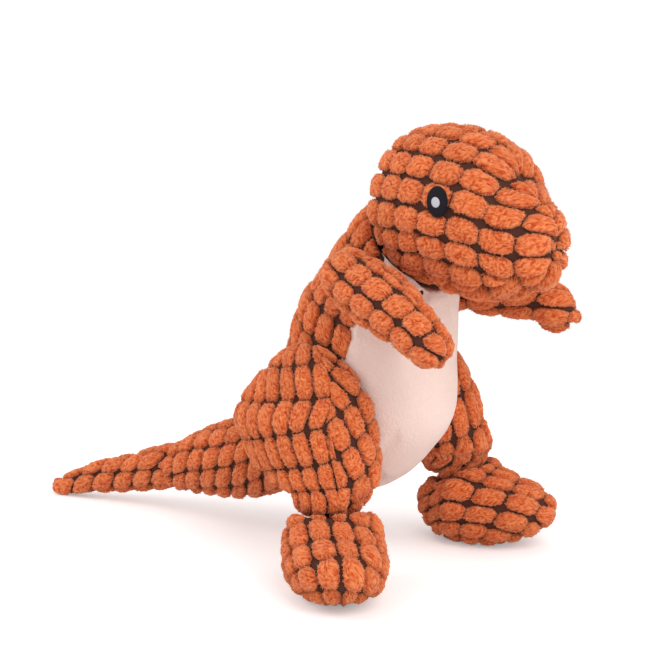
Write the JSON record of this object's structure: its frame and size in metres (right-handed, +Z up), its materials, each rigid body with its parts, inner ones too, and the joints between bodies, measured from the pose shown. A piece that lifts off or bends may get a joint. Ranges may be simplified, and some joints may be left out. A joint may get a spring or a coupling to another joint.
{
  "type": "stuffed dinosaur",
  "caption": "Standing plush dinosaur with padded orange cloth, a smooth pink belly, stitched eyes, short arms, round haunches, flat feet and a long tail.",
  "frame": {"origin": "on the floor under the middle of the toy's box", "axes": "+Z up; the toy faces -Y, so its tail points to +Y; its left side is +X"},
  "size_m": [0.2132, 0.3845, 0.262],
  "materials": {
    "plush_orange": "matte pile",
    "plush_pink": "matte short pile",
    "fibre_filling": "matte",
    "eye_black": "satin stitch",
    "eye_white": "satin stitch",
    "squeaker_plastic": "matte",
    "reed_plastic": "matte"
  },
  "bodies": {
    "body": {"back_panel_right": "plush_orange", "back_panel_left": "plush_orange", "belly_panel": "plush_pink", "body_stuffing": "fibre_filling", "squeaker_case": "squeaker_plastic", "squeaker_reed": "reed_plastic", "thigh_outer_right": "plush_orange", "thigh_inner_right": "plush_orange", "thigh_stuffing_right": "fibre_filling", "thigh_outer_left": "plush_orange", "thigh_inner_left": "plush_orange", "thigh_stuffing_left": "fibre_filling"},
    "head": {"head_panel_right": "plush_orange", "head_panel_left": "plush_orange", "chin_panel": "plush_orange", "head_stuffing": "fibre_filling", "eye_right": "eye_black", "eye_left": "eye_black", "eye_dot_right": "eye_white", "eye_dot_left": "eye_white"},
    "arm_right": {"arm_outer_right": "plush_orange", "arm_inner_right": "plush_orange", "arm_stuffing_right": "fibre_filling"},
    "arm_left": {"arm_outer_left": "plush_orange", "arm_inner_left": "plush_orange", "arm_stuffing_left": "fibre_filling"},
    "foot_right": {"foot_upper_right": "plush_orange", "sole_right": "plush_orange", "foot_stuffing_right": "fibre_filling"},
    "foot_left": {"foot_upper_left": "plush_orange", "sole_left": "plush_orange", "foot_stuffing_left": "fibre_filling"},
    "tail": {"tail_panel_right": "plush_orange", "tail_panel_left": "plush_orange", "tail_stuffing": "fibre_filling"},
    "tail_tip": {"tail_tip_right": "plush_orange", "tail_tip_left": "plush_orange", "tail_tip_stuffing": "fibre_filling"}
  },
  "joints": [
    {"name": "neck_turn", "type": "hinge", "parent": "body", "child": "head", "pos_m": [0.0105, -0.1165, 0.212], "axis": [0, 0, 1], "range_deg": [-12, 12], "stiffness_Nm_per_rad": 0.35},
    {"name": "shoulder_right", "type": "hinge", "parent": "body", "child": "arm_right", "pos_m": [-0.04095, -0.0855, 0.178], "axis": [1, 0, 0], "range_deg": [-8, 16], "stiffness_Nm_per_rad": 0.25},
    {"name": "shoulder_left", "type": "hinge", "parent": "body", "child": "arm_left", "pos_m": [0.06405, -0.0855, 0.162], "axis": [1, 0, 0], "range_deg": [-8, 16], "stiffness_Nm_per_rad": 0.25},
    {"name": "ankle_right", "type": "hinge", "parent": "body", "child": "foot_right", "pos_m": [-0.0525, -0.0815, 0.06], "axis": [0, 0, 1], "range_deg": [-12, 12], "stiffness_Nm_per_rad": 0.4},
    {"name": "ankle_left", "type": "hinge", "parent": "body", "child": "foot_left", "pos_m": [0.0735, -0.0815, 0.06], "axis": [0, 0, 1], "range_deg": [-12, 12], "stiffness_Nm_per_rad": 0.4},
    {"name": "tail_swing", "type": "hinge", "parent": "body", "child": "tail", "pos_m": [0.0105, 0.0115, 0.059], "axis": [0, 0, 1], "range_deg": [-10, 10], "stiffness_Nm_per_rad": 0.4},
    {"name": "tip_swing", "type": "hinge", "parent": "tail", "child": "tail_tip", "pos_m": [0.0105, 0.0975, 0.029], "axis": [0, 0, 1], "range_deg": [-14, 14], "stiffness_Nm_per_rad": 0.2}
  ]
}
